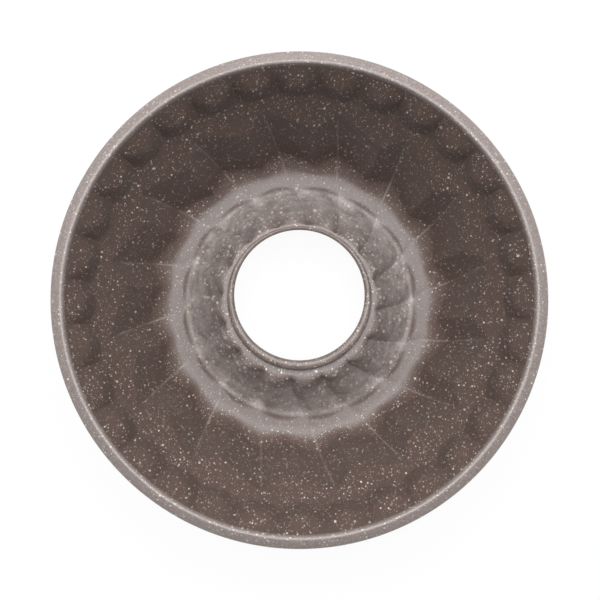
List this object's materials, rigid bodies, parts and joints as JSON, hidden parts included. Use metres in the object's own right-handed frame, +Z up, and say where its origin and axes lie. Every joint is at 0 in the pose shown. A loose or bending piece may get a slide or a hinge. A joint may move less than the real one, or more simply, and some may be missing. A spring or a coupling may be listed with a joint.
{
  "type": "fluted tube pan",
  "caption": "Round fluted tube pan of pressed steel with a speckled non-stick coating, swirled flutes, a rolled wired rim and a conical centre tube, for ring cakes.",
  "frame": {"origin": "middle of the base, on the surface that the pan stands on", "axes": "+Z up along the tube, towards the open side; the hole of the tube is punched 3.6 mm off the middle, along +Y"},
  "size_m": [0.2598, 0.2598, 0.1048],
  "materials": {
    "speckled_coating": "satin",
    "bare_wire": "satin"
  },
  "bodies": {
    "root": {"fluted_shell": "speckled_coating", "tube_collar": "speckled_coating", "rim_wire": "bare_wire"}
  },
  "joints": []
}
